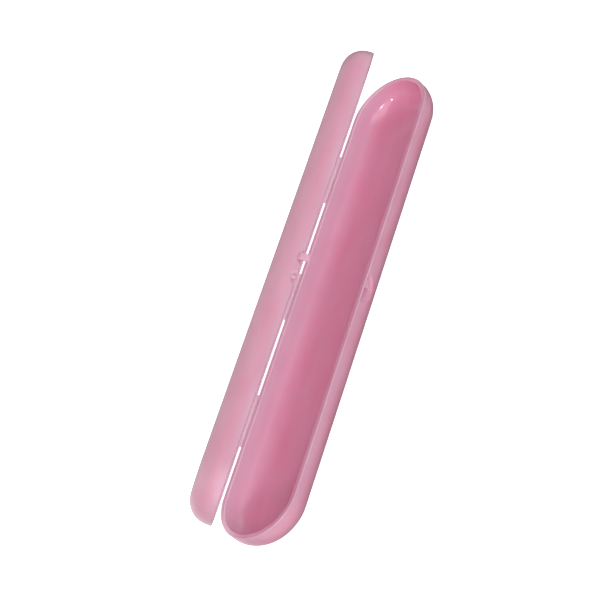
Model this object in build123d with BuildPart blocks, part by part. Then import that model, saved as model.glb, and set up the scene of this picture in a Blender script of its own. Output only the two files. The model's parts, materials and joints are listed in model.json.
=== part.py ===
"""Slim hinged case, moulded in one piece: a deep tray and a shallower lid of the
same stadium outline, three living-hinge webs along the back, and a snap tongue on
the lid.  The tray's rim runs on unbroken over a thumb recess in its front wall, and
the tongue's hook snaps under that lip.  A finger tab stands beside the tongue.

Frame: origin at the middle of the tray's flat underside, +X along the case,
+Y towards the hinge, +Z up.  The lid is drawn closed and swung to its rest angle.
All sizes are in millimetres and degrees.
"""
from build123d import *
import os

os.makedirs("parts", exist_ok=True)

# --- the two dishes --------------------------------------------------------
case_length = 200.0
case_width = 34.0
tray_depth = 12.1
lid_depth = 10.3
wall = 1.8
tray_upright = 2.6      # upright stretch of the tray's wall, above its rounded corner
lid_upright = 1.8       # the same stretch on the lid
rim_round = 0.4         # outer edge of each rim
rim_break = 0.2         # inner edge of each rim
parting_gap = 0.1       # between the two rims when the case is shut

# --- living hinge ----------------------------------------------------------
rest_opening = 43.2     # how far the lid stands open
hinge_standoff = 0.5    # fold line, out from the back wall
web_spacing = 53.0
web_shift = 1.4         # the row of webs sits this far towards +X
outer_web_length = 21.6
centre_web_length = 20.3
web_thickness = 0.3
root_proud = 0.15       # the webs' thick roots stand out from the back wall
root_height = 1.1
root_upright = 0.55     # upright part of a root's face, before it tapers back
web_seat = 0.275        # a web leaves its root this far from the rim
root_bite = 0.9         # how far a root runs into its wall

# --- snap clasp ------------------------------------------------------------
clasp_x = -0.5
tongue_width = 2.6
tongue_thickness = 0.9
tongue_reach = 2.3      # below the lid's rim
tongue_root = 2.0       # above the lid's rim
tongue_shoulder = 1.0   # the root slopes back to the wall above this height
tongue_tip_round = 0.6
hook_bite = 0.45        # how far the hook reaches under the tray's lip
hook_land = 0.3         # upright nose of the hook, above its lead-in slope
hook_side = 0.5         # the hook is this much narrower than the tongue, on each side
snap_clearance = 0.1
lip_height = 0.75       # rim left whole above the thumb recess
thumb_recess_x = 1.3
thumb_recess_width = 12.0
thumb_recess_height = 4.9   # below the lip
thumb_recess_depth = 1.1
recess_edge_round = 0.25
guide_lug_x = 3.6       # lug on the recess floor that the tongue slides in beside
guide_lug_width = 3.0
guide_lug_height = 1.9
guide_lug_proud = 0.6
guide_lug_round = 0.5
scoop_width = 6.0       # the two scoops in the lid's front rim
scoop_height = 2.5
scoop_depth = 0.55
finger_tab_x = -9.2
finger_tab_width = 1.5
finger_tab_height = 2.0
finger_tab_lift = 0.15  # the tab stops this far short of the lid's rim
finger_tab_thickness = 0.9
finger_tab_round = 0.6

# --- worked out from the sizes above ---------------------------------------
half_width = case_width / 2
straight_length = case_length - case_width
rim_z = tray_depth
lid_rim_z = rim_z + parting_gap
crown_z = lid_rim_z + lid_depth
hinge_y = half_width + hinge_standoff
hinge_z = rim_z + parting_gap / 2
web_places = {"left": -web_spacing, "centre": 0.0, "right": web_spacing}
lip_z = rim_z - lip_height
recess_floor_y = -half_width + thumb_recess_depth
scoop_floor_y = -half_width + scoop_depth
tongue_proud = snap_clearance + tongue_thickness
hook_ledge = -(parting_gap + lip_height + snap_clearance)   # from the lid's rim

swing = Pos(0, hinge_y, hinge_z) * Rot(-rest_opening, 0, 0) * Pos(0, -hinge_y, -hinge_z)


def on_lid(closed_plane):
    """A plane of the closed lid, swung open with it."""
    return Plane(swing * closed_plane.location)


def web_length(side):
    return centre_web_length if side == "centre" else outer_web_length


def half_section(plane, depth, upright):
    """One side of a dish's section, from its middle out to the wall and the rim."""
    corner = depth - upright
    flat = half_width - corner
    inner = half_width - wall
    with BuildSketch(plane) as section:
        with BuildLine():
            Line((0, 0), (flat, 0))
            CenterArc((flat, corner), corner, -90, 90)
            Line((half_width, corner), (half_width, depth - rim_round))
            CenterArc((half_width - rim_round, depth - rim_round), rim_round, 0, 90)
            Line((half_width - rim_round, depth), (inner + rim_break, depth))
            Line((inner + rim_break, depth), (inner, depth - rim_break))
            Line((inner, depth - rim_break), (inner, corner))
            CenterArc((flat, corner), corner - wall, -90, 90)
            Line((flat, wall), (0, wall))
            Line((0, wall), (0, 0))
        make_face()
    return section.sketch


def dish(section_plane, depth, upright):
    """A dish that opens along the plane's y: straight sides and half-round ends."""
    half = half_section(section_plane, depth, upright)
    ends = {end: section_plane.offset(end * straight_length / 2) for end in (-1, 1)}
    with BuildPart() as shell:
        for side in (half, half.mirror(Plane(section_plane.origin, z_dir=section_plane.x_dir))):
            extrude(to_extrude=side, amount=straight_length / 2, both=True)
        for end, end_plane in ends.items():
            turning_line = Axis(end_plane.origin, end_plane.y_dir * -end)
            revolve(half_section(end_plane, depth, upright), axis=turning_line, revolution_arc=180)
    return shell.part


def root_section(plane):
    """The thick root of a web: a lug along the rim, tapered away from it."""
    with BuildSketch(plane) as section:
        with BuildLine():
            Polyline((-root_bite, 0), (root_proud, 0), (root_proud, root_upright),
                     (0, root_height), (-root_bite, root_height), close=True)
        make_face()
    return section.sketch


def lid_front(x, height=0.0):
    """Upright plane on the floor of the lid's scoops, facing out, from the lid's rim."""
    return on_lid(Plane((x, scoop_floor_y, lid_rim_z + height), x_dir=(1, 0, 0), z_dir=(0, -1, 0)))


# --- tray ------------------------------------------------------------------
thumb_plane = Plane((thumb_recess_x, -half_width, lip_z), x_dir=(1, 0, 0), z_dir=(0, -1, 0))
with BuildPart() as tray_shell:
    add(dish(Plane.YZ, tray_depth, tray_upright))
    for side, x in web_places.items():
        back_of_rim = Plane((x + web_shift, half_width, rim_z), x_dir=(0, 1, 0), z_dir=(-1, 0, 0))
        extrude(root_section(back_of_rim), amount=web_length(side) / 2, both=True)
    with BuildSketch(thumb_plane):
        Ellipse(thumb_recess_width / 2, thumb_recess_height)
        split(bisect_by=Plane.XZ, keep=Keep.TOP)
    extrude(amount=-thumb_recess_depth, mode=Mode.SUBTRACT)
    curved_edges = tray_shell.edges(Select.LAST).filter_by(GeomType.LINE, reverse=True).sort_by(Axis.Y)
    recess_outline = curved_edges[:-1]      # all but the one round the recess's floor
    fillet(recess_outline, radius=recess_edge_round)

# --- lid -------------------------------------------------------------------
lid_section = on_lid(Plane((0, 0, crown_z), x_dir=(0, -1, 0), z_dir=(1, 0, 0)))
with BuildPart() as lid_shell:
    add(dish(lid_section, lid_depth, lid_upright))
    for side, x in web_places.items():
        back_of_rim = Plane((x + web_shift, half_width, lid_rim_z), x_dir=(0, 1, 0), z_dir=(1, 0, 0))
        extrude(root_section(on_lid(back_of_rim)), amount=web_length(side) / 2, both=True)
    for x in (clasp_x, finger_tab_x):
        with BuildSketch(lid_front(x)):
            Ellipse(scoop_width / 2, scoop_height)
        extrude(amount=scoop_depth + root_proud, mode=Mode.SUBTRACT)

# --- living-hinge webs -----------------------------------------------------
# Each web bends round the fold line from root to root and is trimmed to their faces.
web_start_y = half_width + root_proud - web_thickness / 2
web_start_z = rim_z - web_seat
web_end = (swing * Pos(0, web_start_y, 2 * hinge_z - web_start_z)).position
webs = {}
for side, x in web_places.items():
    with BuildPart() as web:
        with BuildSketch(Plane.YZ.offset(x + web_shift)):
            with BuildLine():
                ThreePointArc((web_start_y, web_start_z), (hinge_y, hinge_z), (web_end.Y, web_end.Z))
            trace(line_width=web_thickness)
        extrude(amount=web_length(side) / 2, both=True)
        add([tray_shell.part, lid_shell.part], mode=Mode.SUBTRACT)
    webs[side] = web

# --- guide lug in the thumb recess -----------------------------------------
guide_z = lip_z - guide_lug_height / 2
guide_plane = Plane((guide_lug_x, recess_floor_y, guide_z), x_dir=(1, 0, 0), z_dir=(0, -1, 0))
with BuildPart() as guide_lug:
    with BuildSketch(guide_plane):
        RectangleRounded(guide_lug_width, guide_lug_height, guide_lug_round)
    extrude(amount=guide_lug_proud)

# --- snap tongue and finger tab on the lid ---------------------------------
clasp_section = on_lid(Plane((clasp_x, -half_width, lid_rim_z), x_dir=(0, 1, 0), z_dir=(1, 0, 0)))
with BuildPart() as snap_tongue:
    with BuildSketch(clasp_section):
        with BuildLine():
            Polyline((scoop_depth, 0), (scoop_depth, tongue_root), (0, tongue_root),
                     (-tongue_proud, tongue_shoulder), (-tongue_proud, -tongue_reach),
                     (-snap_clearance, -tongue_reach), (-snap_clearance, 0), close=True)
        make_face()
    extrude(amount=tongue_width / 2, both=True)
    with BuildSketch(lid_front(clasp_x, (tongue_root - tongue_reach) / 2)):
        RectangleRounded(tongue_width, tongue_root + tongue_reach, tongue_tip_round)
    extrude(amount=scoop_depth + tongue_proud, mode=Mode.INTERSECT)
    with BuildSketch(clasp_section):
        with BuildLine():
            Polyline((-snap_clearance, -tongue_reach), (hook_bite, hook_ledge - hook_land),
                     (hook_bite, hook_ledge), (-snap_clearance, hook_ledge), close=True)
        make_face()
    extrude(amount=tongue_width / 2 - hook_side, both=True)

with BuildPart() as finger_tab:
    with BuildSketch(lid_front(finger_tab_x, (finger_tab_height + finger_tab_lift) / 2)):
        RectangleRounded(finger_tab_width, finger_tab_height - finger_tab_lift, finger_tab_round)
    extrude(amount=finger_tab_thickness)

# --- labels and files ------------------------------------------------------
pieces = {"tray_shell": tray_shell, "lid_shell": lid_shell}
pieces.update({f"hinge_web_{side}": web for side, web in webs.items()})
pieces.update({"guide_lug": guide_lug, "snap_tongue": snap_tongue, "finger_tab": finger_tab})
for name, piece in pieces.items():
    piece.part.label = name
    export_step(piece.part, f"parts/{name}.step")
    print(name, round(piece.part.volume, 2), "mm3")
print("hinge axis", round(hinge_y, 4), round(hinge_z, 4))
pivot = (swing * Pos(0, scoop_floor_y, lid_rim_z + tongue_root)).position
print("tongue pivot", round(pivot.Y, 4), round(pivot.Z, 4))
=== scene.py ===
# %% [markdown]
# # A slim hinged case in glossy pink plastic
#
# The object is a long case with round ends, moulded in one piece. A deep tray and a
# shallower lid are joined along the back by three thin webs that bend, which is called
# a living hinge. A small tongue on the lid snaps under the rim of the tray.
#
# The CAD model already holds every size, so this script only loads it and dresses it.
# Lengths are in metres, +X runs along the case, +Y points to the hinge and +Z is up.

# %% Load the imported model
import json
import math
import bmesh
import bpy
from mathutils import Matrix, Vector


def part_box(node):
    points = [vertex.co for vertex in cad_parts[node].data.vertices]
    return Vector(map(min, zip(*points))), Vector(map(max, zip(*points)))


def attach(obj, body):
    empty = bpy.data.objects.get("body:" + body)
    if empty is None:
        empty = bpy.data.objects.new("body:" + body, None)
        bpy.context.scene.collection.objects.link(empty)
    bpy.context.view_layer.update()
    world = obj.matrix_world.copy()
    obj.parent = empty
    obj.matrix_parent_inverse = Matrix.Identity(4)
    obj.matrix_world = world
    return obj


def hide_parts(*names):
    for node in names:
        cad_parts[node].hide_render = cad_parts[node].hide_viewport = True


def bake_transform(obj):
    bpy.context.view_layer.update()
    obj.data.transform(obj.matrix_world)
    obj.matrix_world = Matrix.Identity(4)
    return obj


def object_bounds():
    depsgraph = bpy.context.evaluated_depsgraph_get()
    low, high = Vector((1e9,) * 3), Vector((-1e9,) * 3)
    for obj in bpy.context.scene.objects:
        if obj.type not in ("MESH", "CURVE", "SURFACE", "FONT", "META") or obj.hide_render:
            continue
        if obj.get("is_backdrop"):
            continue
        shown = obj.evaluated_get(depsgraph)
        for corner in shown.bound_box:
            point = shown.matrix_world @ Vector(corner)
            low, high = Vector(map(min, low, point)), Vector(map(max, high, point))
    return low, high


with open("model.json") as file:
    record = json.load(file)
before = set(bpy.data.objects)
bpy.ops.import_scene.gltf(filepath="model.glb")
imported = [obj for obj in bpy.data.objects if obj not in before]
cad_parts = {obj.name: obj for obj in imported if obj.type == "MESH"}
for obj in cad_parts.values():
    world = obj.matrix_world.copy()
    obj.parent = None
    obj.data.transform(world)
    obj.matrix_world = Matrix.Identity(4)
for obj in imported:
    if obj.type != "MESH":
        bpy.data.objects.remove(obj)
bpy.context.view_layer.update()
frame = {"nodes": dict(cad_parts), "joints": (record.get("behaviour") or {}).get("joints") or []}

MM = 0.001
scene = bpy.context.scene
print("nodes", sorted(frame["nodes"]))

# %% [markdown]
# ## Sizes
#
# A size that the CAD model can tell is read from it, so that the two never drift apart.
# The tray's box gives the outline, and the hinge joint gives the line that the lid turns
# about and the angle that it stands open by.

# %% Sizes that are read from the CAD model
joints = {joint["name"]: joint for joint in frame["joints"]}
tray_low, tray_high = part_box("tray_shell")
half_width = -tray_low.y
straight = tray_high.x - tray_low.x - 2 * half_width
rim_z = tray_high.z
fold = Vector(joints["lid_hinge"]["pos_m"])
rest_opening = math.radians(-joints["lid_hinge"]["range_deg"][0])
print("half width", round(half_width / MM, 2), "straight", round(straight / MM, 2),
      "rim", round(rim_z / MM, 2), "mm")

# %% [markdown]
# ## Sizes of the moulding
#
# What a box can't show, such as a wall's thickness, is a named value here. Each shell has
# a large rounding where its wall turns into its bottom. The rims are rounded outside and
# only broken inside, as the two halves of a mould leave them.

# %% Sizes of the two shells
tray_corner = 9.5 * MM
lid_depth = 10.3 * MM
lid_corner = 8.5 * MM
wall = 1.8 * MM
rim_round = 0.4 * MM
rim_break = 0.2 * MM
parting_gap = 2 * (fold.z - rim_z)
lid_rim_z = rim_z + parting_gap
crown_z = lid_rim_z + lid_depth
weld = 0.002 * MM       # points nearer to each other than this become one
print("shut, the lid's rim is at", round(lid_rim_z / MM, 2), "mm and its crown at",
      round(crown_z / MM, 2), "mm")

# %% [markdown]
# ## Opening the lid
#
# The lid is easiest to model shut, above the tray, where its rim is level. One matrix
# then turns the finished mesh about the fold line. The place goes into the mesh and the
# object stays at the origin, so patterns that read object coordinates don't slide.

# %% The turn from shut to open
opened = Matrix.Translation(fold) @ Matrix.Rotation(-rest_opening, 4, "X") @ Matrix.Translation(-fold)
print("the lid stands open by", round(math.degrees(rest_opening), 1), "degrees")

# %% [markdown]
# ## Camera
#
# A long lens from well back keeps the case's long sides almost parallel. The camera is
# placed by two angles and a distance round the point it looks at, and then rolled, which
# lays the case across the picture.

# %% Place the camera
camera_azimuth = math.radians(-35.876)
camera_elevation = math.radians(36.419)
camera_roll = math.radians(-47.797)
camera_distance = 0.8185
camera_aim = Vector((-4.27, 7.43, 16.87)) * MM
camera_lens = 135.66
camera_sensor = 36
nearest_drawn = 10 * MM

camera = bpy.data.objects.new("camera", bpy.data.cameras.new("camera"))
scene.collection.objects.link(camera)
towards_camera = Vector((math.sin(camera_azimuth) * math.cos(camera_elevation),
                         -math.cos(camera_azimuth) * math.cos(camera_elevation),
                         math.sin(camera_elevation)))
level = (-towards_camera).to_track_quat("-Z", "Y").to_matrix().to_4x4()
camera.matrix_world = (Matrix.Translation(camera_aim + towards_camera * camera_distance)
                       @ level @ Matrix.Rotation(camera_roll, 4, "Z"))
camera.data.lens = camera_lens
camera.data.sensor_width = camera_sensor
camera.data.clip_start = nearest_drawn
scene.camera = camera
print("camera at", [round(c, 4) for c in camera.location])

# %% [markdown]
# ## Writing node trees as sums
#
# Geometry nodes and shader nodes are both trees of small boxes. Drawn by hand, a formula
# becomes dozens of Math boxes. Here a `Wire` stands for one output, and Python's own
# operators add the Math box, so the formula can be read. The reflected forms, such as
# `__rsub__`, are what Python calls when the number comes first, as in `1 - mask`.

# %% Wire
class Wire:
    """One output in a node tree. Arithmetic on it adds Math nodes to that tree."""

    def __init__(self, graph, socket):
        self.graph = graph
        self.socket = socket

    def math(self, operation, *values):
        """A Math node on these values, which are numbers or wires."""
        return self.graph.add("ShaderNodeMath", {"operation": operation}, dict(enumerate(values)))

    def __add__(self, other):
        return self.math("ADD", self, other)

    def __radd__(self, other):
        return self.math("ADD", other, self)

    def __sub__(self, other):
        return self.math("SUBTRACT", self, other)

    def __rsub__(self, other):
        return self.math("SUBTRACT", other, self)

    def __mul__(self, other):
        return self.math("MULTIPLY", self, other)

    def __rmul__(self, other):
        return self.math("MULTIPLY", other, self)

    def __truediv__(self, other):
        return self.math("DIVIDE", self, other)

    def __rtruediv__(self, other):
        return self.math("DIVIDE", other, self)

    def __neg__(self):
        return self.math("MULTIPLY", self, -1.0)

    def __pow__(self, other):
        return self.math("POWER", self, other)

    def __rpow__(self, other):
        return self.math("POWER", other, self)

    def __lt__(self, other):
        return self.math("LESS_THAN", self, other)

    def __gt__(self, other):
        return self.math("GREATER_THAN", self, other)

    def sin(self):
        return self.math("SINE", self)

    def cos(self):
        return self.math("COSINE", self)

    def abs(self):
        return self.math("ABSOLUTE", self)

    def root(self):
        return self.math("SQRT", self)

    def least(self, other):
        return self.math("MINIMUM", self, other)

    def most(self, other):
        return self.math("MAXIMUM", self, other)

    def kept(self, low, high):
        """The value, kept between low and high."""
        return self.most(low).least(high)

    def ease(self, low, high):
        """0 below low, 1 above high, and a soft step between."""
        return self.graph.add("ShaderNodeMapRange", {"interpolation_type": "SMOOTHSTEP"},
                              {"Value": self, "From Min": low, "From Max": high})


print("Wire ready")

# %% [markdown]
# ## One way to add a node
#
# Every kind of box, Math boxes too, comes from `Graph.add`. Some settings change which
# sockets a node has, so they are made before the sockets are filled.

# %% Graph
class Graph:
    """Writes into one node tree."""

    def __init__(self, tree):
        self.tree = tree

    def add(self, kind, options=None, inputs=None, out=0):
        """A node of that kind: its options first, then its sockets, which are numbers or wires."""
        node = self.tree.nodes.new(kind)
        for name, value in (options or {}).items():
            if name == "choices":               # how many inputs an Index Switch has
                for _ in range(value - 2):      # the node starts with two
                    node.index_switch_items.new()
            else:
                setattr(node, name, value)
        for key, value in (inputs or {}).items():
            if isinstance(value, Wire):
                self.tree.links.new(value.socket, node.inputs[key])
            else:
                node.inputs[key].default_value = value
        return Wire(self, node.outputs[out])

    def other(self, wire, out):
        """Another output of the node that a wire comes from."""
        return Wire(self, wire.socket.node.outputs[out])

    def vector(self, x, y, z):
        """A vector from three numbers or wires."""
        return self.add("ShaderNodeCombineXYZ", None, {"X": x, "Y": y, "Z": z})

    def parts(self, vector):
        """The three wires of a vector's X, Y and Z."""
        x = self.add("ShaderNodeSeparateXYZ", None, {"Vector": vector})
        return x, self.other(x, 1), self.other(x, 2)


print("Graph ready")

# %% [markdown]
# ## A geometry tree with named inputs
#
# A tree is made once and used on several objects with different numbers, the way a
# function is. `start_tree` gives it its inputs, and `grow` puts it on an object, sets each
# number by its socket's identifier and turns the result into a plain mesh.

# %% start_tree and end_tree
def start_tree(name, sizes, takes_mesh=False):
    """The graph of a new geometry tree and a wire for each input, by name."""
    tree = bpy.data.node_groups.new(name, "GeometryNodeTree")
    tree.interface.new_socket("Mesh", in_out="OUTPUT", socket_type="NodeSocketGeometry")
    if takes_mesh:
        tree.interface.new_socket("Mesh", in_out="INPUT", socket_type="NodeSocketGeometry")
    for size in sizes:
        tree.interface.new_socket(size, in_out="INPUT", socket_type="NodeSocketFloat")
    tree.interface.new_socket("Finish", in_out="INPUT", socket_type="NodeSocketMaterial")
    graph = Graph(tree)
    node = tree.nodes.new("NodeGroupInput")
    return graph, {socket.name: Wire(graph, socket) for socket in node.outputs if socket.name}


def end_tree(graph, mesh, finish):
    """Realize, set the finish and close the tree."""
    real = graph.add("GeometryNodeRealizeInstances", None, {"Geometry": mesh})
    painted = graph.add("GeometryNodeSetMaterial", None, {"Geometry": real, "Material": finish})
    out = graph.tree.nodes.new("NodeGroupOutput")
    graph.tree.links.new(painted.socket, out.inputs[0])
    print(graph.tree.name, "has", len(graph.tree.nodes), "nodes")
    return graph.tree


# %% grow
def grow(name, steps):
    """A mesh object made by one geometry tree after another, each with its own numbers."""
    seed = bpy.data.objects.new(name + "_seed", bpy.data.meshes.new(name + "_seed"))
    scene.collection.objects.link(seed)
    for tree, values in steps:
        modifier = seed.modifiers.new(tree.name, "NODES")
        modifier.node_group = tree
        for socket in tree.interface.items_tree:
            if socket.in_out == "INPUT" and socket.name in values:
                modifier[socket.identifier] = values[socket.name]
    evaluated = seed.evaluated_get(bpy.context.evaluated_depsgraph_get())
    mesh = bpy.data.meshes.new_from_object(evaluated)
    mesh.name = name
    finish = next(material for material in mesh.materials if material)
    mesh.materials.clear()          # the seed's own empty slot came along
    mesh.materials.append(finish)
    mesh.polygons.foreach_set("material_index", [0] * len(mesh.polygons))
    bpy.data.objects.remove(seed)
    piece = bpy.data.objects.new(name, mesh)
    scene.collection.objects.link(piece)
    print(name, len(mesh.vertices), "points,", len(mesh.polygons), "faces")
    return piece


# %% [markdown]
# ## The moulded finish
#
# The case is polypropylene with pink pigment: glossy, a little milky under the surface,
# and never perfectly even. Under a lamp one sees faint streaks where the pigment flowed
# along the mould, a very slight ripple in the gloss, and hair-fine scuffs from use.
# All of it is made from noise on object coordinates, so nothing has to be unwrapped.

# %% Finish helpers
def start_finish(name):
    """A material with an empty tree, its graph and its object coordinates."""
    material = bpy.data.materials.new(name)
    material.use_nodes = True
    material.node_tree.nodes.clear()
    graph = Graph(material.node_tree)
    place = graph.add("ShaderNodeTexCoord", None, None, "Object")
    return material, graph, place


def end_finish(graph, shader):
    """Join the shader to the material's output."""
    out = graph.tree.nodes.new("ShaderNodeOutputMaterial")
    graph.tree.links.new(shader.socket, out.inputs["Surface"])
    print("a finish with", len(graph.tree.nodes), "nodes")


def noise(graph, place, stretch, size, detail=3.0):
    """Noise of about that grain size, in metres, drawn out by stretch along X, Y and Z."""
    drawn = graph.add("ShaderNodeMapping", None,
                      {"Vector": place, "Scale": [1 / (size * s) for s in stretch]})
    return graph.add("ShaderNodeTexNoise", None,
                     {"Vector": drawn, "Scale": 1.0, "Detail": detail, "Roughness": 0.55})


def tint(graph, share, one, other, blend="MIX"):
    """One colour going over to another, or to their product, as share goes from 0 to 1."""
    return graph.add("ShaderNodeMix", {"data_type": "RGBA", "blend_type": blend},
                     {0: share, 6: one, 7: other}, 2)


# %% [markdown]
# ## Where light and shade are painted on
#
# Light and shade are painted into the colour here. The walls by the hinge and the outer
# rims get a paler painted sheen. The rim edge at the hinge gets a painted highlight that
# lightens the shade under the lid, and the pressed hollows get a deeper painted shade.
# Masks for these could be painted as images, but the shells follow a rule, so sums find
# the places. How far a point lies from the line round which the corner is rounded tells
# an inner face from an outer one, and its height tells how near the rim is.

# %% Where a point of a shell lies
# The paler back wall is painted sheen and its palest edge a painted highlight. The other rims get
# painted sheen and the hollows get painted shade.
hinge_fade = 11 * MM        # the back wall is paler to this far from its rim
hinge_edge_fade = 0.8 * MM  # and palest to this far
rim_fade = 4 * MM           # the other walls are paler to this far from the rim
hollow_from = 0.1 * MM      # a hollow begins at this depth in the wall
hollow_full = 0.5 * MM
hollow_end = 1.4 * MM       # deeper than this are the inner faces
hollow_zone = 16 * MM       # all hollows lie this near to the middle of the case


def shell_places(graph, place, corner, on_lid):
    """The mask of a shell's inner faces, and the four masks of painted sheen, highlight and shade."""
    if on_lid:      # turn the pattern shut, where the shell is level
        back = Matrix.Rotation(rest_opening, 3, "X")
        place = graph.add("ShaderNodeMapping", None, {
            "Vector": place, "Location": fold - back @ fold, "Rotation": (rest_opening, 0, 0)})
    x, y, z = graph.parts(place)
    height = crown_z - z if on_lid else z
    below_rim = z - lid_rim_z if on_lid else rim_z - z
    out = ((x.abs() - straight / 2).most(0.0) ** 2 + y * y).root()
    past_flat = (out - half_width + corner).most(0.0)
    past_upright = (corner - height).most(0.0)
    from_corner = (past_flat ** 2 + past_upright ** 2).root()
    inside = 1 - from_corner.ease(corner - 0.75 * wall, corner - 0.25 * wall)

    # Painted light: sheen on the back wall by the hinge, a highlight on its rim edge, and sheen along
    # the other outer rims.
    hinge_side = y.ease(0.0, 0.8 * half_width)
    hinge_wall_sheen = hinge_side * (1 - below_rim.ease(0.0, hinge_fade))
    hinge_rim_highlight = hinge_side * (1 - below_rim.ease(0.0, hinge_edge_fade))
    outer_rim_sheen = (1 - inside) * (1 - hinge_side) * (1 - below_rim.ease(0.0, rim_fade))

    # Painted shade in the pressed hollows.
    depth = corner - from_corner        # below the outer face
    hollow = depth.ease(hollow_from, hollow_full) * (depth < hollow_end) * (below_rim > rim_round)
    hollow = hollow * (y < 0.0) * (x.abs() < hollow_zone)
    return inside, [hinge_wall_sheen, hinge_rim_highlight, outer_rim_sheen, hollow]


print("the back wall is paler down to", round(hinge_fade / MM, 1), "mm below the rim")

# %% [markdown]
# ## Colour of a shell
#
# The inner faces are painted a stronger pink than the outer ones, as painted light that
# goes from wall to wall inside the dish. Over that, each of the four masks brings in one
# colour of painted sheen, highlight or shade with a Mix node, one after the other, and
# never quite fully, so that no edge of a mask is hard.

# %% Colours that the masks bring in
# place, colour, the most that comes in
# Painted sheen by the hinge, a painted highlight on the hinge rim, painted sheen on the other rims
# and painted shade in the hollows.
painted_light_tints = [
    ("wall by the hinge", (0.70, 0.47, 0.60), 0.8),
    ("edge at the hinge", (0.88, 0.64, 0.74), 0.8),
    ("other rim", (0.57, 0.35, 0.45), 0.6),
    ("hollows", (0.50, 0.19, 0.30), 0.6)]


def shell_colour(graph, place, outer, inner, corner, on_lid):
    """The colour of a shell with its painted light and shade, and the mask of its polished inner
    faces.
    """
    inside, masks = shell_places(graph, place, corner, on_lid)
    colour = tint(graph, inside, (*outer, 1), (*inner, 1))
    for mask, (_, pink, share) in zip(masks, painted_light_tints):
        colour = tint(graph, mask * share, colour, (*pink, 1))
    return colour, inside


print("tinted places", [name for name, _, _ in painted_light_tints])

# %% [markdown]
# ## Scuffs
#
# A scuff is a hair-fine line, so it is noise drawn out very long and cut off high, which
# leaves only the tops of its waves. Some run along the case and some across, and a third,
# coarse noise keeps them to the places that get worn.

# %% Scuffs
def scuff_marks(graph, place):
    """A mask of fine scuffs along and across the case."""
    along = noise(graph, place, stretch=(24, 1, 1), size=0.35 * MM, detail=2.0).ease(0.64, 0.74)
    across = noise(graph, place, stretch=(1, 18, 6), size=0.4 * MM, detail=2.0).ease(0.66, 0.76)
    worn = noise(graph, place, stretch=(1.6, 1, 1), size=9 * MM, detail=2.0).ease(0.45, 0.75)
    return (along + across).least(1.0) * worn


print("Scuffs ready")

# %% [markdown]
# ## The moulding's material
#
# One function makes all four finishes. Four noises give the pigment: long streaks, broad
# clouds, fine specks and a milky haze. The plastic itself is one Principled shader: some
# light goes under its surface and comes out again, and a thin clear coat gives the gloss.
# The gloss is stronger on the inner faces, which come off the polished half of the mould.

# %% The finish of the moulding
pigment_streak = (0.965, 0.91, 0.925, 1)
milky_haze = (0.66, 0.50, 0.60, 1)
haze_share = 0.2
plain_polish = 0.3          # the small parts lie between an outer and an inner face
plain_roughness = 0.34
scuff_roughness = 0.08
haze_roughness = 0.05
polish_roughness = 0.04     # what the polish takes away
plain_coat = 0.15
polish_coat = 0.5           # what the polish adds
relief_depth = 0.02 * MM


def moulded(name, outer, inner=None, corner=None, on_lid=False, milky=0.3):
    """Glossy pigmented plastic. A shell gives its corner and a colour for its inner faces."""
    material, graph, place = start_finish(name)
    flow = noise(graph, place, stretch=(5, 1, 1), size=3 * MM)
    cloud = noise(graph, place, stretch=(1.6, 1, 1), size=16 * MM, detail=2.0)
    milk = noise(graph, place, stretch=(2.6, 1, 1), size=8 * MM, detail=1.5)
    speck = noise(graph, place, stretch=(1, 1, 1), size=0.3 * MM, detail=1.0)
    ripple = noise(graph, place, stretch=(2, 1, 1), size=3.5 * MM, detail=1.0)
    scuffs = scuff_marks(graph, place)

    colour = (*outer, 1)
    polish = plain_polish
    if corner:
        colour, polish = shell_colour(graph, place, outer, inner, corner, on_lid)
    pigment = (flow * 0.4 + cloud * 0.45 + speck * 0.15).ease(0.3, 0.7)
    colour = tint(graph, pigment, colour, pigment_streak, "MULTIPLY")
    colour = tint(graph, milk.ease(0.2, 0.8) * haze_share, colour, milky_haze)
    roughness = (plain_roughness + scuffs * scuff_roughness + (milk - 0.5) * haze_roughness
                 - polish * polish_roughness)

    height = ripple * 0.8 + speck * 0.04 - scuffs * 0.06
    bump = graph.add("ShaderNodeBump", None, {
        "Strength": 0.25, "Distance": relief_depth, "Height": height})
    plastic = graph.add("ShaderNodeBsdfPrincipled", None, {
        "Base Color": colour, "Roughness": roughness, "Normal": bump,
        "IOR": 1.49, "Specular IOR Level": 0.3,
        "Coat Weight": plain_coat + polish * polish_coat, "Coat Roughness": 0.03,
        "Subsurface Weight": milky, "Subsurface Radius": (1.0, 0.75, 0.8),
        "Subsurface Scale": 2.0 * MM})
    end_finish(graph, plastic)
    return material


# The inner colours are a stronger pink than the outer ones: painted light that goes from wall to wall
# inside the dish.
tray_finish = moulded("tray_pink", outer=(0.665, 0.28, 0.39), inner=(0.82, 0.335, 0.50),
                      corner=tray_corner)
lid_finish = moulded("lid_pink", outer=(0.66, 0.315, 0.415), inner=(0.70, 0.32, 0.43),
                     corner=lid_corner, on_lid=True)
# The small parts are painted a little paler than the shells, as painted sheen for the glints on their
# edges.
clasp_finish = moulded("clasp_pink", outer=(0.68, 0.36, 0.465))

# %% [markdown]
# ## The dish, as a rule
#
# Tray and lid are the same shape with different numbers: a section swept round a long
# outline with half-round ends. The section comes first. It is a row of six corners, from
# the middle of the bottom out, up the wall, over the rim and back along the inside, and
# the Fillet Curve node rounds each corner by a radius of its own.

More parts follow.
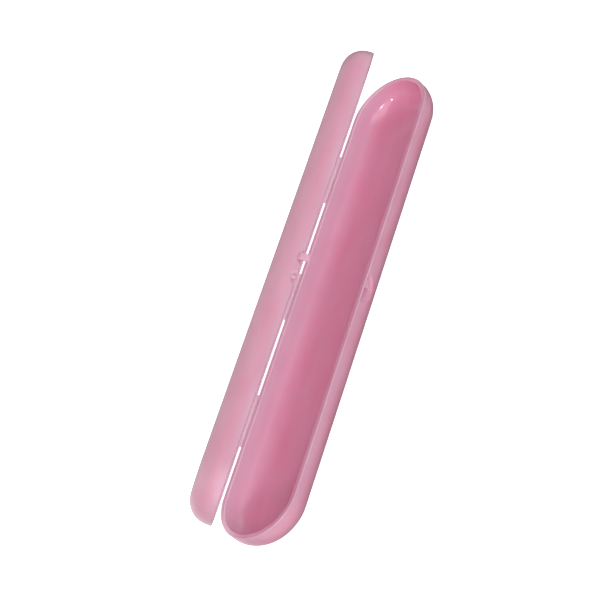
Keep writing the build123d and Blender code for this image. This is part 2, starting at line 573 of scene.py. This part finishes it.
# %% The section of a dish
corner_points = 48          # points in each rounding
graph, size = start_tree("moulded_dish", [
    "Straight", "Half width", "Depth", "Corner", "Wall", "Rim round", "Rim break",
    "Section points", "Stations", "Crowding", "Rim crowding"])
inner = size["Half width"] - size["Wall"]
corners = [(0.0, 0.0), (size["Half width"], 0.0), (size["Half width"], size["Depth"]),
           (inner, size["Depth"]), (inner, size["Wall"]), (0.0, size["Wall"])]
roundings = [0.0, size["Corner"], size["Rim round"], size["Rim break"],
             size["Corner"] - size["Wall"], 0.0]
index = graph.add("GeometryNodeInputIndex")
row = graph.add("GeometryNodeMeshToCurve", None, {
    "Mesh": graph.add("GeometryNodeMeshLine", None, {"Count": len(corners)})})
corner_places = graph.add(
    "GeometryNodeIndexSwitch", {"data_type": "VECTOR", "choices": len(corners)},
    {"Index": index, **{str(i): graph.vector(r, z, 0.0) for i, (r, z) in enumerate(corners)}})
corner_radii = graph.add(
    "GeometryNodeIndexSwitch", {"data_type": "FLOAT", "choices": len(corners)},
    {"Index": index, **{str(i): radius for i, radius in enumerate(roundings)}})
section = graph.add("GeometryNodeFilletCurve", {"mode": "POLY"}, {
    "Curve": graph.add("GeometryNodeSetPosition", None,
                       {"Geometry": row, "Position": corner_places}),
    "Radius": corner_radii, "Count": corner_points})
print("a section with", len(corners), "corners")

# %% [markdown]
# ## Sweeping the section
#
# The sweep is a grid whose two directions become the way along the section and the way
# round the outline. Both are crowded towards the rim and towards the middle of the sides,
# because the small parts of the clasp and the hinge are pressed in there. The outline is
# walked from the middle of the front: along half a side, round an end, along the back,
# round the other end and home. Merging the points that meet closes the seams.

# %% The sweep round the outline
grid = graph.add("GeometryNodeMeshGrid", None, {
    "Size X": 1.0, "Size Y": 1.0, "Vertices X": size["Section points"],
    "Vertices Y": size["Stations"] + 1})
along, around, _ = graph.parts(graph.add("GeometryNodeInputPosition"))
along = along + 0.5
around = around + 0.5
along = along + size["Rim crowding"] / (2 * math.pi) * (along * (2 * math.pi)).sin()
around = around - size["Crowding"] / (4 * math.pi) * (around * (4 * math.pi)).sin()
out, up, _ = graph.parts(graph.add("GeometryNodeSampleCurve", {"mode": "FACTOR"},
                                   {"Curves": section, "Factor": along}, "Position"))

half = size["Straight"] / 2
bend = size["Half width"] * math.pi
walked = around * (size["Straight"] * 2 + bend * 2)
bent = (walked - half).kept(0.0, bend) + (walked - half * 3 - bend).kept(0.0, bend)
turned = bent / size["Half width"]
middle = (walked.kept(0.0, half) - (walked - half - bend).kept(0.0, half * 2)
          + (walked - half * 3 - bend * 2).kept(0.0, half))
swept = graph.add("GeometryNodeSetPosition", None, {
    "Geometry": grid,
    "Position": graph.vector(middle + out * turned.sin(), -(out * turned.cos()), up)})
closed = graph.add("GeometryNodeMergeByDistance", None, {"Geometry": swept, "Distance": weld})
outward = graph.add("GeometryNodeFlipFaces", None, {"Mesh": closed})
smooth = graph.add("GeometryNodeSetShadeSmooth", None, {"Geometry": outward})
dish_tree = end_tree(graph, smooth, size["Finish"])

# %% [markdown]
# ## Hollows in the front wall
#
# The thumb recess in the tray and the two scoops in the lid are half ellipses sunk into
# the front wall. A boolean cut would leave a hard edge. This tree moves the wall's outer
# points back to the hollow's floor instead, with a soft step at its edge, the way a
# rounded steel core leaves it in a moulding.

# %% The pressed_hollow tree
softer_below = 3            # the step at a hollow's bottom is this many times softer still
graph, size = start_tree("pressed_hollow", [
    "Centre", "Half length", "Height", "Top", "Floor", "Outside", "Side step", "Top step"],
    takes_mesh=True)
x, y, z = graph.parts(graph.add("GeometryNodeInputPosition"))
below = size["Top"] - z
down = below / size["Height"]
reach = (((x - size["Centre"]) / size["Half length"]) ** 2 + down ** 2).root()
run_out = 1 + softer_below * down.kept(0.0, 1.0)
in_outline = ((1 - reach) * size["Height"] / run_out).ease(0.0, size["Side step"])
under_top = below.ease(-size["Top step"], 0.0)
sunk = y + in_outline * under_top * (y < size["Outside"]) * (size["Floor"] - y).most(0.0)
hollowed = graph.add("GeometryNodeSetPosition", None, {
    "Geometry": size["Mesh"], "Position": graph.vector(x, sunk, z)})
welded = graph.add("GeometryNodeMergeByDistance", None, {"Geometry": hollowed, "Distance": weld})
hollow_tree = end_tree(graph, welded, size["Finish"])

# %% [markdown]
# ## Sizes of the clasp
#
# The clasp is the case's only fine detail: a tongue with a hook on the lid, the recess
# that it drops into, a lug beside it and a finger tab. Its sizes come first, because the
# hollows in both shells are cut to them.

# %% Sizes of the tongue and its hook
clasp_x = -0.5 * MM
tongue_width = 2.6 * MM
tongue_thickness = 0.9 * MM
tongue_reach = 2.3 * MM     # below the lid's rim
tongue_root = 2.0 * MM      # above the lid's rim
tongue_shoulder = 1.0 * MM  # the root slopes back to the wall above this height
tongue_tip_round = 0.6 * MM
hook_bite = 0.45 * MM       # how far the hook reaches under the tray's lip
hook_land = 0.3 * MM        # the upright nose of the hook
hook_side = 0.5 * MM        # the hook is this much narrower than the tongue, on each side
snap_clearance = 0.1 * MM
lip_height = 0.75 * MM      # the rim that is left whole above the thumb recess
print("shut, the tongue reaches", round((tongue_reach - parting_gap - lip_height) / MM, 2),
      "mm below the lip")

# %% Sizes of the hollows
recess_x = 1.3 * MM
recess_half_length = 6.0 * MM
recess_height = 4.9 * MM
recess_depth = 1.1 * MM
scoop_half_length = 3.0 * MM
scoop_height = 2.5 * MM
scoop_depth = 0.55 * MM
finger_tab_x = -9.2 * MM
soft_step = 0.45 * MM       # how wide the soft edge of a hollow is
print("behind the recess the wall is", round((wall - recess_depth) / MM, 2), "mm thick")

# %% [markdown]
# ## Tray
#
# The dish tree grows the tray and the hollow tree sinks the thumb recess into its front
# wall. The grid is fine, 140 points along the section and 520 round the outline, so that
# the rim's small rounding and the edge of the recess are true shape and not only bump.

# %% Grow the tray
shared = {"Straight": straight, "Half width": half_width, "Wall": wall, "Rim round": rim_round,
          "Rim break": rim_break, "Section points": 140, "Stations": 520, "Crowding": 0.8,
          "Rim crowding": 0.7}
outside = -half_width + wall / 2        # only points in front of this are moved
tray_body = grow("tray_body", [
    (dish_tree, {**shared, "Depth": rim_z, "Corner": tray_corner, "Finish": tray_finish}),
    (hollow_tree, {"Centre": recess_x, "Half length": recess_half_length, "Height": recess_height,
                   "Top": rim_z - lip_height, "Floor": -half_width + recess_depth,
                   "Outside": outside, "Side step": 2 * soft_step, "Top step": soft_step / 2,
                   "Finish": tray_finish})])
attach(tray_body, "tray")
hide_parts("tray_shell")

# %% [markdown]
# ## Lid
#
# The lid is the same dish, shallower, with a scoop for the tongue and one for the finger
# tab. It grows the right way up, like a tray. A mirror in Z lays it upside down over the
# tray, and the hinge's turn opens it. A mirror turns every face inwards, so the normals
# are flipped back.

# %% Grow the lid, turn it over and open it
scoop = {"Half length": scoop_half_length, "Height": scoop_height, "Top": lid_depth,
         "Floor": -half_width + scoop_depth, "Outside": outside, "Side step": soft_step,
         "Top step": soft_step / 2, "Finish": lid_finish}
lid_body = grow("lid_body", [
    (dish_tree, {**shared, "Depth": lid_depth, "Corner": lid_corner, "Finish": lid_finish}),
    (hollow_tree, {**scoop, "Centre": clasp_x}),
    (hollow_tree, {**scoop, "Centre": finger_tab_x})])
turned_over = Matrix.Translation((0, 0, crown_z)) @ Matrix.Scale(-1, 4, (0, 0, 1))
lid_body.data.transform(opened @ turned_over)
lid_body.data.flip_normals()
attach(lid_body, "lid")
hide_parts("lid_shell")

# %% [markdown]
# ## Living hinge
#
# Each web is a strip that is thick where it grows out of the two walls and 0.3 mm thin at
# the fold, so that it bends only there. A grid is wrapped round a curve that runs from
# wall to wall past the fold line: one way of the grid goes along the web, the other goes
# over its outer face and back under its inner one. One tree makes all three webs, with a
# length and a place each.

# %% The living_hinge tree
points_along_web = 41
points_round_web = 97
web_curve_points = 64
thin_to = 0.12              # share of the way from the fold to a root where the web stays thin
thick_from = 0.7            # and where it is fully thick
squareness = 3              # how quickly the strip's side edges turn from one face to the other
graph, size = start_tree("living_hinge", [
    "Centre", "Length", "Thin", "Thick", "Edge", "Start Y", "Start Z", "End Y", "End Z",
    "Out Y", "Out Z", "Back Y", "Back Z"])
grid = graph.add("GeometryNodeMeshGrid", None, {
    "Size X": 2.0, "Size Y": 2 * math.pi, "Vertices X": points_along_web,
    "Vertices Y": points_round_web})
across, angle, _ = graph.parts(graph.add("GeometryNodeInputPosition"))
reach = size["Length"] / 2
x = reach * (across * (math.pi / 2)).sin()
edge = ((reach - x.abs()) / size["Edge"]).kept(0.0, 1.0)
rounding = (1 - (1 - edge) ** 2).most(0.0).root()
along = (1 - angle.cos()) / 2
path = graph.add("GeometryNodeCurvePrimitiveBezierSegment", {"mode": "POSITION"}, {
    "Resolution": web_curve_points,
    "Start": graph.vector(0.0, size["Start Y"], size["Start Z"]),
    "Start Handle": graph.vector(0.0, size["Out Y"], size["Out Z"]),
    "End Handle": graph.vector(0.0, size["Back Y"], size["Back Z"]),
    "End": graph.vector(0.0, size["End Y"], size["End Z"])})
sample = graph.add("GeometryNodeSampleCurve", {"mode": "FACTOR"},
                   {"Curves": path, "Factor": along}, "Position")
_, path_y, path_z = graph.parts(sample)
_, run_y, run_z = graph.parts(graph.other(sample, "Tangent"))
rootward = (along * 2 - 1).abs().ease(thin_to, thick_from)
thickness = (size["Thin"] + (size["Thick"] - size["Thin"]) * rootward) / 2
offset = thickness * (angle.sin() * squareness).kept(-1.0, 1.0) * rounding
strip = graph.add("GeometryNodeSetPosition", None, {
    "Geometry": grid,
    "Position": graph.vector(x + size["Centre"], path_y - offset * run_z, path_z + offset * run_y)})
closed = graph.add("GeometryNodeMergeByDistance", None, {"Geometry": strip, "Distance": weld})
smooth = graph.add("GeometryNodeSetShadeSmooth", None, {"Geometry": closed})
hinge_tree = end_tree(graph, smooth, size["Finish"])

# %% [markdown]
# ## The path of a web
#
# The path is a Bezier curve. It leaves each wall at a right angle, so both handles point
# straight out from their walls, and the lid's wall is the tray's turned by the opening
# angle. The middle of a Bezier curve lies at the mean of its ends plus three eighths of
# the sum of its handles, which gives the length at which the web touches the fold line.
# Half of that length is used here, so that the web stays back between the walls.

# %% Where the webs leave the two walls
web_thin = 0.3 * MM
web_thick = 1.0 * MM
web_edge = 0.5 * MM
root_bite = 1.1 * MM        # from the fold line into the wall
root_below = 0.45 * MM      # from the fold line down, and up, to the middle of a root
web_forward = 0.5           # 1 would let the web just touch the fold line
turn = Matrix.Rotation(-rest_opening, 3, "X")
outward_tray = Vector((0, 1, 0))
outward_lid = turn @ outward_tray
start = Vector((0, -root_bite, -root_below))
end = turn @ Vector((0, -root_bite, root_below))
handle = web_forward * (start + end).length / 2 / (3 / 8 * (outward_tray + outward_lid).length)
start_handle = start + outward_tray * handle
end_handle = end + outward_lid * handle
print("web path, from the fold line", [round(v / MM, 3) for v in (*start.yz, *end.yz)])

# %% [markdown]
# ## Three webs
#
# A web belongs to the tray at one end and to the lid at the other. Thin plastic lets
# more light through, so the webs are milkier than the walls. Their pale, greyish pink
# is painted sheen, which also lightens the shade in the gap between the two rims.

# %% Grow the three webs
web_finish_with_painted_sheen = moulded("web_pink_painted_sheen", outer=(0.84, 0.57, 0.67), milky=0.8)
bend_from = 0.25            # the bending part of a web, as shares of its path
bend_to = 0.75


def on_fold(point):
    """A point that is given from the fold line, in the case's own frame."""
    return point + Vector((0, fold.y, fold.z))


def bezier_point(t):
    """The point at that share of the web's path."""
    return ((1 - t) ** 3 * start + 3 * (1 - t) ** 2 * t * start_handle
            + 3 * (1 - t) * t ** 2 * end_handle + t ** 3 * end)


for side in ("left", "centre", "right"):
    low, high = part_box("hinge_web_" + side)
    web = grow("web_" + side, [(hinge_tree, {
        "Centre": (low.x + high.x) / 2, "Length": high.x - low.x,
        "Thin": web_thin, "Thick": web_thick, "Edge": web_edge,
        "Start Y": on_fold(start).y, "Start Z": on_fold(start).z,
        "End Y": on_fold(end).y, "End Z": on_fold(end).z,
        "Out Y": on_fold(start_handle).y, "Out Z": on_fold(start_handle).z,
        "Back Y": on_fold(end_handle).y, "Back Z": on_fold(end_handle).z, "Finish": web_finish_with_painted_sheen})])
    on_fold(bezier_point(bend_from))
    on_fold(bezier_point(bend_to))
    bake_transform(web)
    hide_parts("hinge_web_" + side)

# %% [markdown]
# ## The small parts of the clasp
#
# These are blocks with a clear outline, so they are drawn as outlines and pulled out to
# their width with bmesh. A bevel on every edge gives them the soft corners of plastic.

# %% Outline, width, bevel
sharp = 0.5                 # radians: an edge that turns by more than this is bevelled
same_within = 1e-6          # places that differ by less than this are the same
corner_steps = 5            # a large round is made of this many flats
edge_steps = 2              # and a small one of this many


def pulled(outline, half_length):
    """A closed solid: an outline in Y and Z, pulled out to both sides along X."""
    solid = bmesh.new()
    ends = [[solid.verts.new((side * half_length, y, z)) for y, z in outline] for side in (-1, 1)]
    solid.faces.new(ends[0])
    solid.faces.new(list(reversed(ends[1])))
    for i in range(len(outline)):
        j = (i + 1) % len(outline)
        solid.faces.new((ends[0][i], ends[1][i], ends[1][j], ends[0][j]))
    bmesh.ops.recalc_face_normals(solid, faces=solid.faces)
    return solid


def rounded(solid, radius, steps, chosen=lambda edge: True):
    """Bevel the chosen edges of a solid."""
    edges = [edge for edge in solid.edges if chosen(edge)]
    bmesh.ops.bevel(solid, geom=edges, offset=radius, segments=steps, profile=0.5, affect="EDGES",
                    clamp_overlap=True)


print("an edge is sharp above", round(math.degrees(sharp)), "degrees")

# %% [markdown]
# ## From solids to a piece
#
# Every small part ends in the same way: its solids become one mesh, the mesh is put in
# its place, the piece is told which body it rides on, and the CAD node that it stands for is hidden.

# %% as_piece
def as_piece(name, solids, finish, body, node, place=Matrix.Identity(4)):
    """The solids as one smooth-shaded object that rides on a body."""
    mesh = bpy.data.meshes.new(name)
    whole = bmesh.new()
    for solid in solids:
        part = bpy.data.meshes.new("part")
        solid.to_mesh(part)
        whole.from_mesh(part)
        bpy.data.meshes.remove(part)
        solid.free()
    whole.to_mesh(mesh)
    whole.free()
    mesh.transform(place)
    mesh.materials.append(finish)
    mesh.shade_smooth()
    piece = bpy.data.objects.new(name, mesh)
    scene.collection.objects.link(piece)
    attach(piece, body)
    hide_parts(node)
    print(name, len(mesh.vertices), "points,", len(mesh.polygons), "faces")


# %% [markdown]
# ## Snap tongue
#
# The tongue hangs from the lid's front rim. Its root slopes back into the wall, its tip is
# rounded, and on its inner face sits the hook that snaps under the tray's lip. The hook is
# a second, narrower block that starts inside the blade, so that no seam can show.

# %% Snap tongue
blade_edge_round = 0.12 * MM
hook_edge_round = 0.06 * MM
hook_sunk = 0.2 * MM        # the hook starts this far inside the blade
hook_tip_lift = 0.1 * MM    # and this far above the blade's tip
front = Matrix.Translation((clasp_x, -half_width, lid_rim_z))
proud = snap_clearance + tongue_thickness
ledge = -(parting_gap + lip_height + snap_clearance)
blade = pulled([(scoop_depth, 0), (scoop_depth, tongue_root), (0, tongue_root),
                (-proud, tongue_shoulder), (-proud, -tongue_reach),
                (-snap_clearance, -tongue_reach), (-snap_clearance, 0)], tongue_width / 2)
tip_corners = [edge for edge in blade.edges
               if all(abs(v.co.z + tongue_reach) < same_within for v in edge.verts)
               and abs(edge.verts[0].co.x - edge.verts[1].co.x) < same_within]
rounded(blade, tongue_tip_round, corner_steps, lambda edge: edge in tip_corners)
rounded(blade, blade_edge_round, edge_steps, lambda edge: edge.calc_face_angle(0) > sharp)
hook = pulled([(-snap_clearance - hook_sunk, -tongue_reach + hook_tip_lift),
               (hook_bite, ledge - hook_land), (hook_bite, ledge),
               (-snap_clearance - hook_sunk, ledge)], tongue_width / 2 - hook_side)
rounded(hook, hook_edge_round, edge_steps)
as_piece("tongue", [blade, hook], clasp_finish, "clasp", "snap_tongue", opened @ front)

# %% [markdown]
# ## Finger tab and guide lug
#
# Both are small rounded plates that stand out from a wall. The tab sits in the lid's
# second scoop and the lug on the floor of the thumb recess. The lug's box is read from the
# CAD model. The lid's parts are turned there, so the tab's box is worked out shut.

# %% Finger tab and guide lug
finger_tab_width = 1.5 * MM
finger_tab_height = 1.85 * MM
finger_tab_thickness = 0.9 * MM
finger_tab_sunk = 0.05 * MM     # how far the tab runs into the wall behind it
finger_tab_lift = 0.15 * MM     # the tab stops this far short of the lid's rim


def plate(low, high, corner_round, edge_round):
    """A plate that fills the box from its low to its high corner, with rounded corners."""
    width, depth, height = high - low
    solid = pulled([(-depth / 2, -height / 2), (depth / 2, -height / 2),
                    (depth / 2, height / 2), (-depth / 2, height / 2)], width / 2)
    rounded(solid, corner_round, corner_steps,
            lambda edge: abs(edge.verts[0].co.y - edge.verts[1].co.y) > depth / 2)
    rounded(solid, edge_round, edge_steps, lambda edge: edge.calc_face_angle(0) > sharp)
    bmesh.ops.translate(solid, vec=(low + high) / 2, verts=solid.verts)
    return solid


tab_low = Vector((finger_tab_x - finger_tab_width / 2,
                  -half_width + scoop_depth - finger_tab_thickness,
                  lid_rim_z + finger_tab_lift))
tab_high = tab_low + Vector((finger_tab_width,
                             finger_tab_thickness + finger_tab_sunk,
                             finger_tab_height))
tab = plate(tab_low, tab_high, corner_round=0.55 * MM, edge_round=0.15 * MM)
as_piece("finger_tab_body", [tab], clasp_finish, "lid", "finger_tab", opened)
lug_low, lug_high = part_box("guide_lug")
lug = plate(lug_low, lug_high, corner_round=0.5 * MM, edge_round=0.2 * MM)
as_piece("lug", [lug], clasp_finish, "tray", "guide_lug")

# %% [markdown]
# ## Floor
#
# The case lies on a white table that is lit so evenly that it shows no shade at all. So
# the floor simply glows white for the camera, and the light that a real table would throw
# back up is part of the surroundings, in the next step.

# %% A white floor that only the camera sees
floor_reach = 6.0
floor_corners = [(-floor_reach, -floor_reach, 0), (floor_reach, -floor_reach, 0),
                 (floor_reach, floor_reach, 0), (-floor_reach, floor_reach, 0)]
floor_material, graph, _ = start_finish("floor_white")
end_finish(graph, graph.add("ShaderNodeBsdfPrincipled", None, {
    "Base Color": (0.9, 0.9, 0.9, 1), "Roughness": 0.9, "Specular IOR Level": 0.0,
    "Emission Color": (1, 1, 1, 1), "Emission Strength": 0.95}))
floor_mesh = bpy.data.meshes.new("floor")
floor_mesh.from_pydata(floor_corners, [], [(0, 1, 2, 3)])
floor_mesh.materials.append(floor_material)
floor = bpy.data.objects.new("floor", floor_mesh)
scene.collection.objects.link(floor)
floor.visible_diffuse = False
floor.visible_glossy = False
floor.visible_transmission = False
floor.visible_shadow = False
floor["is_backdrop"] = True
print("floor", 2 * floor_reach, "m wide")

# %% [markdown]
# ## Soft studio light
#
# Glossy plastic shows the edges of every lamp. A white tent with lamps outside has none:
# each lamp is a wide patch of light on its wall that fades away. The world's background
# is such a tent. Each patch is the cosine of the angle to its middle, raised to a power
# that says how narrow it is. Low light from the front reaches under the lid, and the
# floor of the tray stays deeper in colour.

# %% The light tent
# name, azimuth, elevation, narrowness, strength
patches = [
    ("front, low", 0, 12, 14, 3.1),
    ("left, low", -75, 12, 14, 1.2),
    ("right, low", 60, 12, 14, 1.85),
    ("far right, low", 90, 12, 14, 1.0),
    ("front", -25, 32, 14, 1.5),
    ("front left", -50, 32, 14, 1.0),
    ("front left, high", -50, 55, 14, 2.1),
    ("back", 180, 30, 8, 2.0),
    ("back right", 125, 25, 8, 0.4),
    ("table, back", 180, -30, 6, 1.45),
    ("table, left", -75, -30, 6, 1.0)]


def tent_direction(azimuth, elevation):
    """The direction of a point of the tent, from the front round to the right, and up."""
    a = math.radians(azimuth)
    e = math.radians(elevation)
    return (math.sin(a) * math.cos(e), -math.cos(a) * math.cos(e), math.sin(e))


world = bpy.data.worlds.new("studio")
scene.world = world
world.use_nodes = True
graph = Graph(world.node_tree)
towards = graph.add("ShaderNodeTexCoord", None, None, "Generated")
light = 0.0
for _, azimuth, elevation, narrowness, strength in patches:
    facing = graph.add("ShaderNodeVectorMath", {"operation": "DOT_PRODUCT"},
                       {0: towards, 1: tent_direction(azimuth, elevation)}, "Value")
    light = facing.most(0.0) ** narrowness * strength + light
background = world.node_tree.nodes["Background"]
background.inputs["Color"].default_value = (1, 1, 1, 1)
world.node_tree.links.new(light.socket, background.inputs["Strength"])
scene.view_settings.view_transform = "Standard"
print("light patches", [patch[0] for patch in patches])

# %% [markdown]
# ## Strip lamps
#
# Two strip lamps stand low at the left. They add little light, but the polished inside
# shows them as the short bright strokes that say "glossy plastic". A strip lies level, so
# that its mirror image runs along the curve of the round end.

# %% Strip lamps
strip_distance = 1.3
strip_height = 0.03
# name, azimuth, elevation, length, radiance
strips = [
    ("strip_left", -76, 21, 0.3, 66.0),
    ("strip_front", -37, 17, 0.4, 46.0)]
for name, azimuth, elevation, length, radiance in strips:
    lamp = bpy.data.lights.new(name, "AREA")
    lamp.shape = "RECTANGLE"
    lamp.size = length
    lamp.size_y = strip_height
    lamp.energy = radiance * math.pi * length * strip_height
    strip = bpy.data.objects.new(name, lamp)
    scene.collection.objects.link(strip)
    out = Vector(tent_direction(azimuth, elevation))
    strip.matrix_world = (Matrix.Translation(out * strip_distance)
                          @ out.to_track_quat("Z", "Y").to_matrix().to_4x4())
    print(name, round(lamp.energy, 2), "watts at",
          [round(c, 2) for c in strip.matrix_world.translation])

# %% [markdown]
# ## Finish
#
# The last line prints the box of the dressed model.

# %% Sizes and finish
low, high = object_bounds()
print("visual box", [round(c, 4) for c in (*low, *high)])
